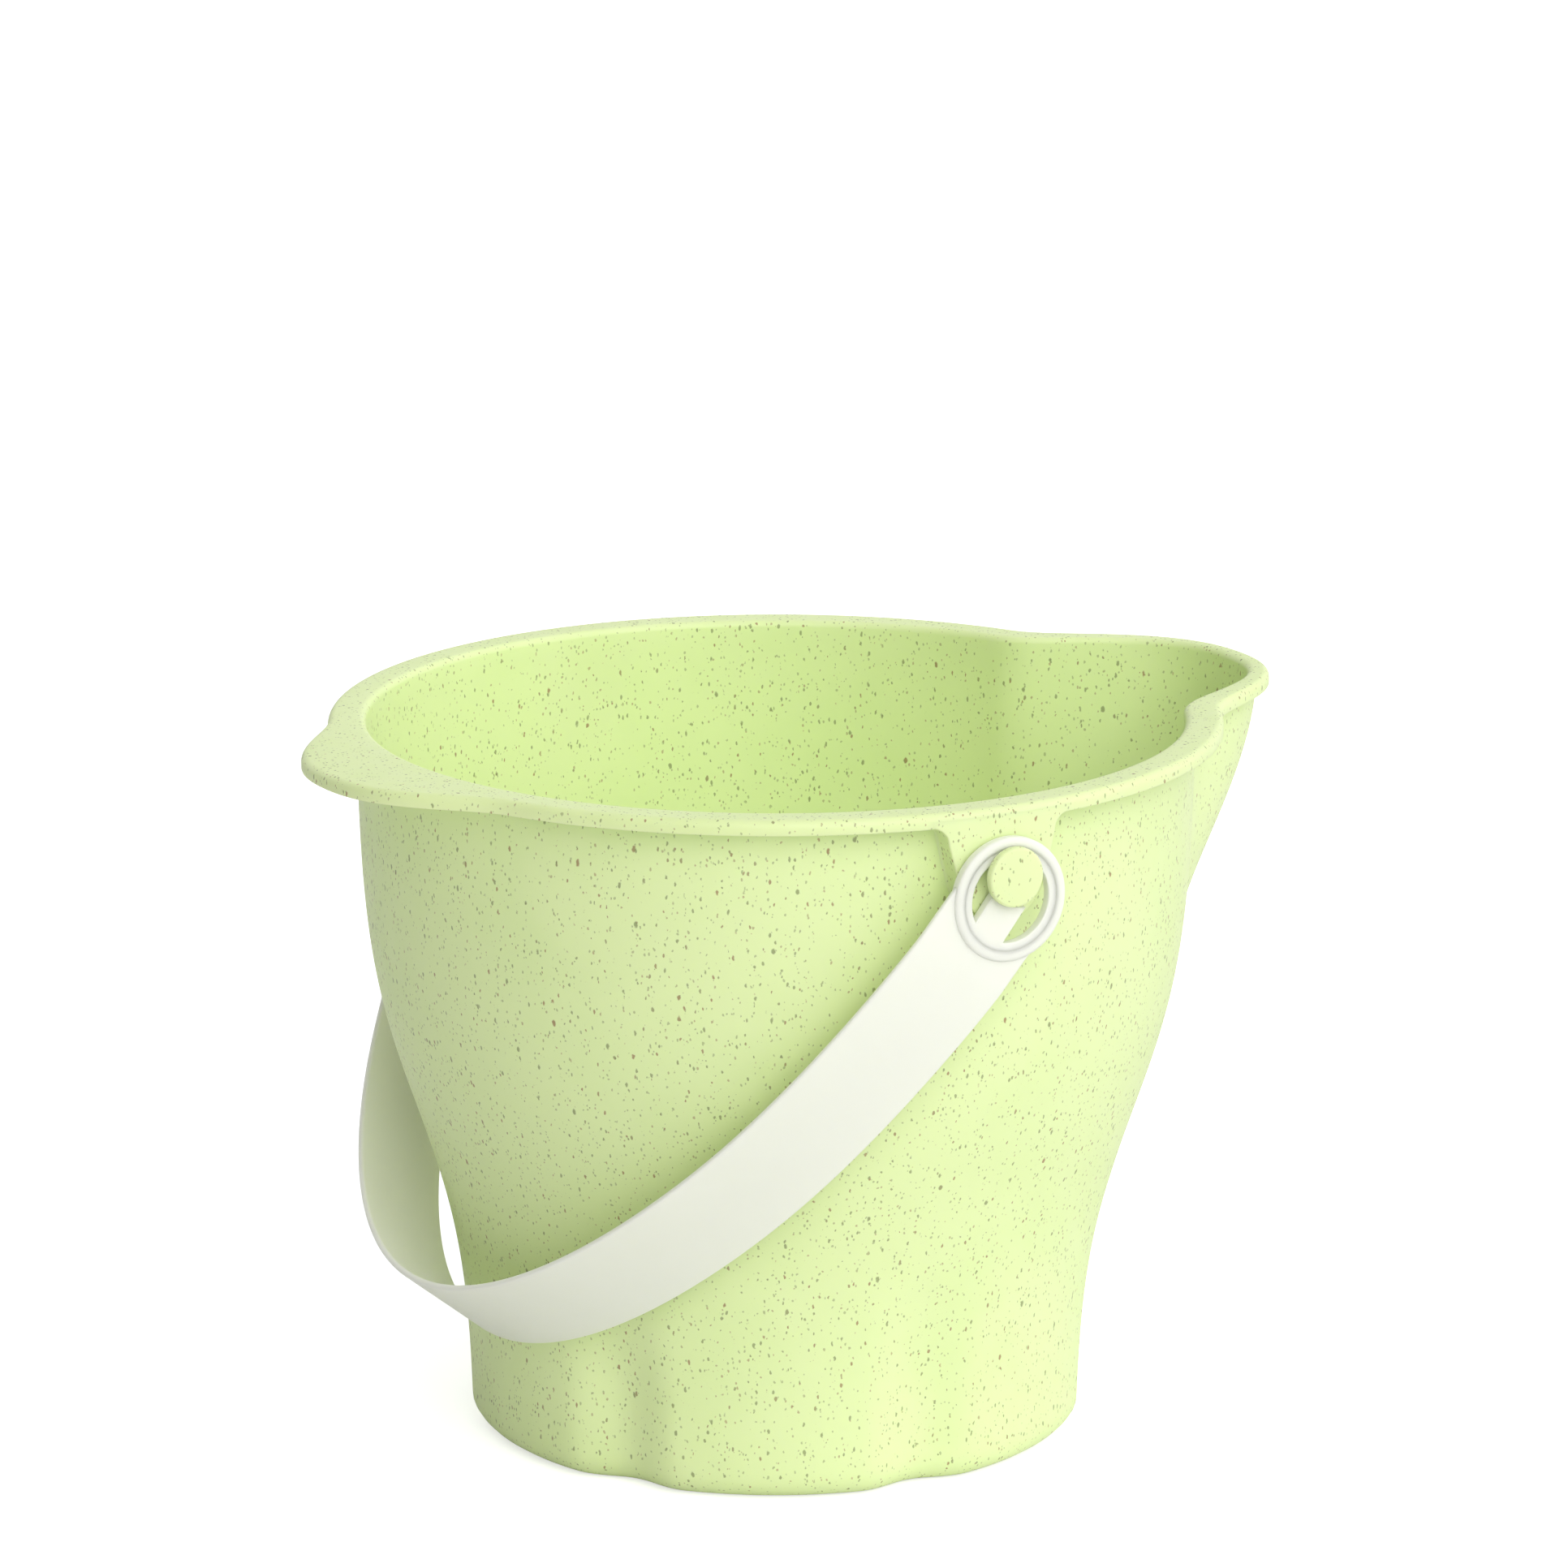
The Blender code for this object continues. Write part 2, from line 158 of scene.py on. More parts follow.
@dataclass
class MeshMaker:
    """Collects points and faces, and turns them into one smooth-shaded object."""

    name: str
    points: list[Point3] = field(default_factory=list)
    faces: list[tuple[int, ...]] = field(default_factory=list)

    def add_ring(self, ring: Iterable[Sequence[float]]) -> list[int]:
        """Add points.

        Args:
            ring: the points to add, in order.

        Returns:
            The new points' numbers, in the same order.
        """
        first = len(self.points)
        self.points.extend(tuple(p) for p in ring)
        return list(range(first, len(self.points)))

    def bridge(self, a: Sequence[int], b: Sequence[int], closed: bool = True) -> None:
        """Fill between two rows of points.

        Args:
            a: the first row.
            b: the second row, of the same length.
            closed: whether the last point joins the first again.
        """
        count = len(a)
        for i in range(count if closed else count - 1):
            j = (i + 1) % count
            self.faces.append((a[i], a[j], b[j], b[i]))

    def loft(self, rows: Iterable[Iterable[Sequence[float]]], closed: bool = True) -> list[list[int]]:
        """Add rows of points and fill between each and the next.

        Args:
            rows: the rows, all of the same length.
            closed: whether each row's last point joins its first again.

        Returns:
            The numbers of each row's points.
        """
        numbers = [self.add_ring(row) for row in rows]
        for here, after in zip(numbers, numbers[1:]):
            self.bridge(here, after, closed)
        return numbers

    def cap(self, ring: Sequence[int], centre: Sequence[float]) -> None:
        """Close a ring with a fan.

        Args:
            ring: the ring's points.
            centre: where the fan meets.
        """
        hub = self.add_ring([centre])[0]
        for i, here in enumerate(ring):
            self.faces.append((here, ring[(i + 1) % len(ring)], hub))

    def finish(self, crisp_degrees: float = CRISP) -> bpy.types.Object:
        """Make the object, with its faces turned outward.

        Args:
            crisp_degrees: edges that turn by more than this stay crisp.

        Returns:
            The object, linked to the scene.
        """
        mesh = bpy.data.meshes.new(self.name)
        mesh.from_pydata(self.points, [], self.faces)
        mesh.update()
        bm = bmesh.new()
        bm.from_mesh(mesh)
        bmesh.ops.recalc_face_normals(bm, faces=bm.faces)
        bm.to_mesh(mesh)
        bm.free()
        mesh.shade_smooth()
        mesh.set_sharp_from_angle(angle=math.radians(crisp_degrees))
        item = bpy.data.objects.new(self.name, mesh)
        bpy.context.scene.collection.objects.link(item)
        return item


def turned_rings(profile: Sequence[Point2], steps: int, place: Placer) -> list[list[Point3]]:
    """Turn a profile about its own axis.

    Args:
        profile: (radius, along the axis) points.
        steps: number of points in each ring.
        place: takes (across, up, along the axis) and gives the point in the model's frame.

    Returns:
        One ring of points for each profile point.
    """
    rings = []
    for radius, along in profile:
        turns = (2.0 * math.pi * i / steps for i in range(steps))
        rings.append([place(radius * math.cos(t), radius * math.sin(t), along) for t in turns])
    return rings


# ---------------------------------------------------------------------------------------------
# Finishes
# ---------------------------------------------------------------------------------------------


class NodeBench:
    """Adds and wires shader nodes of one material."""

    def __init__(self, name: str) -> None:
        """Start a material with nothing but its shader and output.

        Args:
            name: the material's name.
        """
        self.material = bpy.data.materials.new(name)
        self.material.use_nodes = True
        self.tree = self.material.node_tree
        self.shader = self.tree.nodes["Principled BSDF"]

    def node(self, kind: str, **settings: object) -> bpy.types.Node:
        """Add a node.

        Args:
            kind: the node's type name.
            settings: attributes to set on it.

        Returns:
            The new node.
        """
        made = self.tree.nodes.new(kind)
        for key, value in settings.items():
            setattr(made, key, value)
        return made

    def wire(self, source: Socket, target: Socket) -> None:
        """Join an output socket to an input socket."""
        self.tree.links.new(source, target)

    def feed(self, target: Socket, value: object) -> None:
        """Give an input socket a constant, or wire it to another node's output.

        Args:
            target: the input socket.
            value: a number, a colour or an output socket.
        """
        if isinstance(value, Socket):
            self.wire(value, target)
        else:
            target.default_value = value

    def math(self, operation: str, *inputs: object) -> Socket:
        """Add a Math node.

        Args:
            operation: what it does.
            inputs: its inputs in order, each a number or a socket.

        Returns:
            The node's output socket.
        """
        made = self.node("ShaderNodeMath", operation=operation)
        for index, item in enumerate(inputs):
            self.feed(made.inputs[index], item)
        return made.outputs[0]

    def ramp(self, value: Socket, start: object, end: object, low: float = 0.0, high: float = 1.0) -> Socket:
        """Map a value smoothly from one span to another.

        Args:
            value: the input.
            start: where the change begins, a number or a socket.
            end: where it ends, a number or a socket.
            low: result before start.
            high: result after end.

        Returns:
            The node's output socket.
        """
        made = self.node("ShaderNodeMapRange", interpolation_type="SMOOTHSTEP")
        for index, item in enumerate((value, start, end, low, high)):
            self.feed(made.inputs[index], item)
        return made.outputs[0]

    def mix(self, factor: Socket, a: object, b: object) -> Socket:
        """Mix two colours.

        Args:
            factor: share of the second colour.
            a: first colour.
            b: second colour.

        Returns:
            The mixed colour's socket.
        """
        made = self.node("ShaderNodeMix", data_type="RGBA")
        self.feed(made.inputs["Factor"], factor)
        self.feed(made.inputs[6], a)
        self.feed(made.inputs[7], b)
        return made.outputs[2]

    def noise(self, where: Socket, scale: float, detail: float, roughness: float = 0.5) -> bpy.types.Node:
        """Add a noise texture.

        Args:
            where: coordinate socket.
            scale: features per metre.
            detail: octaves.
            roughness: strength of the finer octaves.

        Returns:
            The noise node.
        """
        made = self.node("ShaderNodeTexNoise", noise_dimensions="3D")
        self.wire(where, made.inputs["Vector"])
        made.inputs["Scale"].default_value = scale
        made.inputs["Detail"].default_value = detail
        made.inputs["Roughness"].default_value = roughness
        return made


@dataclass(frozen=True)
class Mottle:
    """A noise, and the span of it that is eased from a low to a high value."""

    scale: float           # features per metre
    detail: float
    roughness: float
    start: float
    end: float
    low: float
    high: float

    def lay(self, bench: NodeBench, where: Socket, level: float = 0.0) -> Socket:
        """Lay the mottle.

        Args:
            bench: the material's node bench.
            where: coordinate socket.
            level: added to both values.

        Returns:
            The eased value's socket.
        """
        spots = bench.noise(where, self.scale, self.detail, self.roughness)
        return bench.ramp(spots.outputs["Fac"], self.start, self.end, level + self.low, level + self.high)


@dataclass(frozen=True)
class MouldedPlastic:
    """Satin moulded plastic: cloudy tone, a painted highlight that makes the sharpest edges paler, fine grain
    and light carried under the skin.
    """

    colour: Colour
    cloud: Colour
    # paler colour painted on the sharpest edges as a painted highlight
    edge: Colour
    roughness: float
    clouding: Mottle
    satin: Mottle          # how far the roughness strays from its level
    painted_edge_highlight: float       # share of the paler colour painted on the sharpest edges, a painted highlight
    grain_scale: float     # features per metre
    grain_detail: float
    grain_share: float     # height of the grain beside the slow swell's
    swell_scale: float
    bump: float
    gloss: float
    glow: float            # share of the light that travels under the skin
    glow_reach: Point3     # by red, green and blue
    glow_depth: float      # metres
    # pointiness where the painted edge highlight begins and where it is full
    highlight_start: float = 0.515
    highlight_end: float = 0.60
    bump_height: float = 0.0004

    def tone(self, bench: NodeBench, where: Socket) -> Socket:
        """Lay the base colour, with a painted highlight on the sharpest edges.

        Args:
            bench: the material's node bench.
            where: coordinate socket.

        Returns:
            The colour's socket.
        """
        clouded = bench.mix(self.clouding.lay(bench, where), self.colour, self.cloud)
        # painted highlight: the sharpest convex edges are made paler, as if light caught them
        edge_sharpness = bench.node("ShaderNodeNewGeometry").outputs["Pointiness"]
        highlight_share = bench.ramp(edge_sharpness, self.highlight_start, self.highlight_end, 0.0, self.painted_edge_highlight)
        return bench.mix(highlight_share, clouded, self.edge)

    def surface(self, bench: NodeBench, where: Socket) -> None:
        """Lay everything but the colour.

        Args:
            bench: the material's node bench.
            where: coordinate socket.
        """
        shader = bench.shader.inputs
        bench.wire(self.satin.lay(bench, where, self.roughness), shader["Roughness"])
        grain = bench.noise(where, self.grain_scale, self.grain_detail, 0.6)
        swell = bench.noise(where, self.swell_scale, 1.0)
        height = bench.math("MULTIPLY_ADD", grain.outputs["Fac"], self.grain_share, swell.outputs["Fac"])
        bump = bench.node("ShaderNodeBump")
        bump.inputs["Strength"].default_value = self.bump
        bump.inputs["Distance"].default_value = self.bump_height
        bench.wire(height, bump.inputs["Height"])
        bench.wire(bump.outputs[0], shader["Normal"])
        shader["Specular IOR Level"].default_value = self.gloss
        shader["Subsurface Weight"].default_value = self.glow
        shader["Subsurface Radius"].default_value = self.glow_reach
        shader["Subsurface Scale"].default_value = self.glow_depth

    def material(self, name: str) -> bpy.types.Material:
        """Build the finish.

        Args:
            name: the material's name.

        Returns:
            The material.
        """
        bench = NodeBench(name)
        where = bench.node("ShaderNodeTexCoord").outputs["Object"]
        bench.wire(self.tone(bench, where), bench.shader.inputs["Base Color"])
        self.surface(bench, where)
        return bench.material


@dataclass(frozen=True)
class FleckLayer:
    """One size of plant-fibre fleck."""

    cell: float            # spacing of the places where a fleck can lie, in metres
    share: float           # share of those places that hold one
    size: float            # fleck half-width as a share of the cell
    stretch: float         # how much longer than wide
    strength: float        # how much of the base colour it covers
    shift: Point3          # keeps the layers from lining up


@dataclass(frozen=True)
class FibrePlastic(MouldedPlastic):
    """Pale green moulded plastic with fine plant-fibre flecks."""

    colour: Colour = (0.790, 0.912, 0.475, 1.0)
    cloud: Colour = (0.745, 0.880, 0.430, 1.0)
    # paler green painted on the sharpest edges, a painted highlight
    edge: Colour = (0.850, 0.950, 0.560, 1.0)
    roughness: float = 0.46
    clouding: Mottle = Mottle(34.0, 4.0, 0.55, 0.42, 0.70, 0.0, 0.55)
    satin: Mottle = Mottle(260.0, 3.0, 0.6, 0.3, 0.7, -0.05, 0.07)
    painted_edge_highlight: float = 0.5
    grain_scale: float = 1500.0
    grain_detail: float = 3.0
    grain_share: float = 0.12
    swell_scale: float = 55.0
    bump: float = 0.22
    gloss: float = 0.42
    glow: float = 0.30
    glow_reach: Point3 = (1.0, 1.0, 0.55)
    glow_depth: float = 0.0022
    olive: Colour = (0.250, 0.285, 0.120, 1.0)
    brown: Colour = (0.330, 0.150, 0.070, 1.0)
    brown_start: float = 0.55              # of the flecks' tint numbers, from 0 to 1, where brown comes in
    brown_full: float = 0.95
    warp_scale: float = 900.0              # bends the flecks' outlines, features per metre
    warp: Point3 = (0.00075, 0.00075, 0.0009)
    thinnest: float = 0.7                  # of a fleck's size
    variation: float = 1.3                 # added to that by chance, at the most
    core: float = 0.55                     # share of a fleck that is solid colour
    layers: tuple[FleckLayer, ...] = (
        FleckLayer(0.0026, 0.42, 0.105, 1.8, 0.78, (0.0, 0.0, 0.0)),
        FleckLayer(0.0012, 0.62, 0.160, 2.0, 0.74, (0.31, 0.17, 0.53)),
        FleckLayer(0.0009, 0.55, 0.185, 1.5, 0.52, (0.71, 0.37, 0.11)),
    )

    def _bent(self, bench: NodeBench, where: Socket) -> Socket:
        """Bend the coordinates a little, so that no fleck is a plain oval.

        Args:
            bench: the material's node bench.
            where: coordinate socket.

        Returns:
            The bent coordinates' socket.
        """
        warp = bench.noise(where, self.warp_scale, 2.0)
        centred = bench.node("ShaderNodeVectorMath", operation="SUBTRACT")
        bench.wire(warp.outputs["Color"], centred.inputs[0])
        centred.inputs[1].default_value = (0.5, 0.5, 0.5)
        bent = bench.node("ShaderNodeVectorMath", operation="MULTIPLY_ADD")
        bench.wire(centred.outputs[0], bent.inputs[0])
        bent.inputs[1].default_value = self.warp
        bench.wire(where, bent.inputs[2])
        return bent.outputs[0]

    def _flecks(self, bench: NodeBench, where: Socket, layer: FleckLayer) -> tuple[Socket, Socket]:
        """Lay one size of fleck.

        Args:
            bench: the material's node bench.
            where: coordinate socket.
            layer: the fleck size.

        Returns:
            A socket with how far a fleck covers the base colour, and a socket with a number for its tint.
        """
        mapping = bench.node("ShaderNodeMapping", vector_type="POINT")
        mapping.inputs["Location"].default_value = layer.shift
        scale = 1.0 / layer.cell
        mapping.inputs["Scale"].default_value = (scale, scale, scale / layer.stretch)
        bench.wire(where, mapping.inputs["Vector"])
        cells = bench.node("ShaderNodeTexVoronoi", voronoi_dimensions="3D", feature="F1")
        cells.inputs["Scale"].default_value = 1.0
        cells.inputs["Randomness"].default_value = 1.0
        bench.wire(mapping.outputs[0], cells.inputs["Vector"])
        split = bench.node("ShaderNodeSeparateColor")
        bench.wire(cells.outputs["Color"], split.inputs[0])
        present = bench.math("LESS_THAN", split.outputs[0], layer.share)
        least, most = layer.size * self.thinnest, layer.size * self.variation
        wide = bench.math("MULTIPLY_ADD", split.outputs[1], most, least)
        solid = bench.math("MULTIPLY", wide, self.core)
        near = bench.ramp(cells.outputs["Distance"], solid, wide, 1.0, 0.0)
        mask = bench.math("MULTIPLY", near, present)
        return bench.math("MULTIPLY", mask, layer.strength), split.outputs[2]

    def tone(self, bench: NodeBench, where: Socket) -> Socket:
        """Lay the base colour and the flecks over it.

        Args:
            bench: the material's node bench.
            where: coordinate socket.

        Returns:
            The colour's socket.
        """
        base = super().tone(bench, where)
        bent = self._bent(bench, where)
        for layer in self.layers:
            mask, tint = self._flecks(bench, bent, layer)
            fleck = bench.mix(bench.ramp(tint, self.brown_start, self.brown_full), self.olive, self.brown)
            base = bench.mix(mask, base, fleck)
        return base


@dataclass(frozen=True)
class IvoryPlastic(MouldedPlastic):
    """Plain warm ivory plastic with a soft satin surface and a painted highlight on its sharpest edges."""

    colour: Colour = (0.890, 0.902, 0.805, 1.0)
    cloud: Colour = (0.865, 0.878, 0.775, 1.0)
    # paler ivory painted on the sharpest edges, a painted highlight
    edge: Colour = (0.955, 0.955, 0.910, 1.0)
    roughness: float = 0.38
    clouding: Mottle = Mottle(26.0, 4.0, 0.55, 0.42, 0.72, 0.0, 0.5)
    satin: Mottle = Mottle(120.0, 5.0, 0.65, 0.30, 0.72, -0.06, 0.10)
    painted_edge_highlight: float = 0.6
    grain_scale: float = 1300.0
    grain_detail: float = 2.0
    grain_share: float = 0.10
    swell_scale: float = 48.0
    bump: float = 0.18
    gloss: float = 0.45
    glow: float = 0.45
    glow_reach: Point3 = (1.0, 0.97, 0.85)
    glow_depth: float = 0.0026


# ---------------------------------------------------------------------------------------------
# Bucket
# ---------------------------------------------------------------------------------------------


@dataclass
class BucketShell:
    """The green shell: fluted foot, wall, flange, spout and finger tab, in one closed skin."""

    foot_radius: float = 0.0691
    shoulder_radius: float = 0.0939
    shoulder_height: float = 0.0745
    shoulder_spread: float = 0.0360
    height: float = 0.1625
    wall: float = 0.0022
    floor: float = 0.0024
    foot_corner: float = 0.0068
    floor_corner: float = 0.0046
    flute_angles: tuple[float, ...] = (30.5, 91.0, 149.0)
    flute_depth: float = 0.0034
    flute_width: float = 0.0290
    flute_full_height: float = 0.0180
    flute_top: float = 0.0620
    flange_reach: float = 0.0061
    flange_thickness: float = 0.0021
    flange_skirt: float = 0.0012
    skirt_thickness: float = 0.0010
    skirt_round: float = 0.00025
    flange_edge_round: float = 0.0017
    mouth_round: float = 0.0016
    flange_fillet: float = 0.0011
    spout_reach: float = 0.0274
    spout_foot_height: float = 0.0880
    spout_half_angle: float = 27.0
    spout_flange_reach: float = 0.0024
    spout_swell: float = 1.7
    tab_reach: float = 0.0128
    tab_half_angle: float = 26.5
    tab_droop: float = 0.0006
    bulge_power: float = 1.25      # higher keeps spout and tab fuller round their middles
    base_rings: tuple[float, ...] = (0.35, 0.7, 0.93)     # shares of the flat underside's and floor's radius
    top_rings: tuple[float, ...] = (0.66, 0.33)           # shares of the way across the flange's top
    columns: int = 480
    wall_steps: int = 56
    inner_steps: int = 44
    round_steps: int = 7
    skirt_steps: int = 2

    @property
    def under(self) -> float:
        """Height of the flange's underside."""
        return self.height - self.flange_thickness

    def bump(self, angle: float, centre: float, half_angle: float) -> float:
        """Swell once about a centre angle.

        Args:
            angle: the place to look at, in degrees.
            centre: where the swelling is full.
            half_angle: where it ends on each side.

        Returns:
            1 at the centre, easing to 0.
        """
        away = abs((angle - centre + 180.0) % 360.0 - 180.0)
        if away >= half_angle:
            return 0.0
        return math.cos(math.pi / 2 * (away / half_angle) ** self.bulge_power) ** 2

    def flute(self, angle: float, height: float) -> float:
        """Depth of the foot's flutes.

        Args:
            angle: degrees from the spout.
            height: metres above the underside.

        Returns:
            How far the wall is pressed in there.
        """
        half_angle = math.degrees(self.flute_width / 2 / self.foot_radius)
        from_spout = abs((angle + 180.0) % 360.0 - 180.0)
        away = min(abs(from_spout - centre) for centre in self.flute_angles)
        shape = math.cos(math.pi / 2 * min(away / half_angle, 1.0)) ** 2
        return self.flute_depth * shape * (1.0 - smooth_step(height, self.flute_full_height, self.flute_top))

    def outside(self, angle: float, height: float) -> float:
        """Radius of the outer face.

        Args:
            angle: degrees from the spout.
            height: metres above the underside.

        Returns:
            The radius.
        """
        middle = (self.shoulder_radius + self.foot_radius) / 2
        swing = (self.shoulder_radius - self.foot_radius) / 2
        radius = middle + swing * math.tanh((height - self.shoulder_height) / self.shoulder_spread)
        rise = (height - self.spout_foot_height) / (self.height - self.spout_foot_height)
        swell = math.sin(math.pi / 2 * min(max(rise, 0.0), 1.0)) ** self.spout_swell
        spout = self.spout_reach * swell * self.bump(angle, SPOUT_SIDE, self.spout_half_angle)
        return radius + spout - self.flute(angle, height)

    def inside(self, angle: float, height: float) -> float:
        """Radius of the inner face, one wall thickness in from the outer one.

        Args:
            angle: degrees from the spout.
            height: metres above the underside.

        Returns:
            The radius.
        """
        radius = self.outside(angle, height)
        up, down = self.outside(angle, height + PROBE_HEIGHT), self.outside(angle, height - PROBE_HEIGHT)
        after, before = self.outside(angle + PROBE_ANGLE, height), self.outside(angle - PROBE_ANGLE, height)
        lean = (up - down) / (2 * PROBE_HEIGHT)
        turn = (after - before) / (radius * math.radians(2 * PROBE_ANGLE))
        return radius - self.wall * math.sqrt(1.0 + lean * lean + turn * turn)

    def flange_edge(self, angle: float) -> float:
        """Radius of the flange's edge.

        Args:
            angle: degrees from the spout.

        Returns:
            The radius.
        """
        wall_top = self.outside(angle, self.under)
        spout = self.bump(angle, SPOUT_SIDE, self.spout_half_angle)
        tab = self.bump(angle, TAB_SIDE, self.tab_half_angle)
        reach = self.flange_reach + (self.spout_flange_reach - self.flange_reach) * spout
        pushed = wall_top - self.outside(PEG_SIDE, self.under)
        return self.shoulder_radius + pushed + reach + self.tab_reach * tab

    def section(self, angle: float) -> list[Point2]:
        """Section of the shell, from the underside up the outside, over the flange and down inside.

        Args:
            angle: degrees from the spout.

        Returns:
            (radius, height) points.
        """
        steps = self.round_steps
        under, top, edge = self.under, self.height, self.flange_edge(angle)
        wall_top = self.outside(angle, under)
        foot = self.outside(angle, self.foot_corner) - self.foot_corner
        points = [(foot * part, 0.0) for part in self.base_rings]
        points += arc(foot, self.foot_corner, self.foot_corner, -90.0, 0.0, steps)
        heights = spread(self.foot_corner, under - self.flange_fillet, self.wall_steps)
        points += [(self.outside(angle, z), z) for z in heights]

        fillet = self.flange_fillet
        rim = arc(wall_top + fillet, under - fillet, fillet, 180.0, 90.0, steps)
        skirt, low, soft = edge - self.skirt_thickness, under - self.flange_skirt, self.skirt_round
        rim += arc(skirt - soft, under - soft, soft, 90.0, 0.0, self.skirt_steps)
        rim += arc(skirt + soft, low + soft, soft, 180.0, 270.0, self.skirt_steps)
        rim += arc(edge - soft, low + soft, soft, -90.0, 0.0, self.skirt_steps)
        rounding = self.flange_edge_round
        rim += arc(edge - rounding, top - rounding, rounding, 0.0, 90.0, steps)
        mouth = self.inside(angle, under) + self.mouth_round
        across = edge - rounding - mouth
        rim += [(mouth + across * part, top) for part in self.top_rings]
        rim += arc(mouth, top - self.mouth_round, self.mouth_round, 90.0, 180.0, steps)
        droop = self.tab_droop * self.bump(angle, TAB_SIDE, self.tab_half_angle) / (edge - wall_top)
        points += [(r, z - droop * max(r - wall_top, 0.0)) for r, z in rim]

        corner = self.floor + self.floor_corner
        heights = spread(top - self.mouth_round, corner, self.inner_steps)
        points += [(self.inside(angle, z), z) for z in heights]
        inner = self.inside(angle, corner) - self.floor_corner
        points += arc(inner, corner, self.floor_corner, 0.0, -90.0, steps)
        return points + [(inner * part, self.floor) for part in reversed(self.base_rings)]

    def build(self) -> bpy.types.Object:
        """Loft the shell.

        Returns:
            The shell object.
        """
        maker = MeshMaker("bucket_skin")
        rows = []
        for i in range(self.columns):
            turn = 2.0 * math.pi * i / self.columns
            c, s = math.cos(turn), math.sin(turn)
            rows.append([(r * c, r * s, z) for r, z in self.section(math.degrees(turn))])
        columns = maker.loft(rows, closed=False)
        maker.bridge(columns[-1], columns[0], closed=False)
        maker.cap([column[0] for column in columns], (0.0, 0.0, 0.0))
        maker.cap([column[-1] for column in columns], (0.0, 0.0, self.floor))
        return maker.finish()

    def dress(self, piece: bpy.types.Object, finish: bpy.types.Material) -> bpy.types.Object:
        """Give the shell its finish and its place in the model.

        Args:
            piece: the shell.
            finish: the plastic.

        Returns:
            The same piece.
        """
        piece.data.materials.append(finish)
        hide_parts("bucket_shell")
        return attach(piece, BodyName.BUCKET.value)


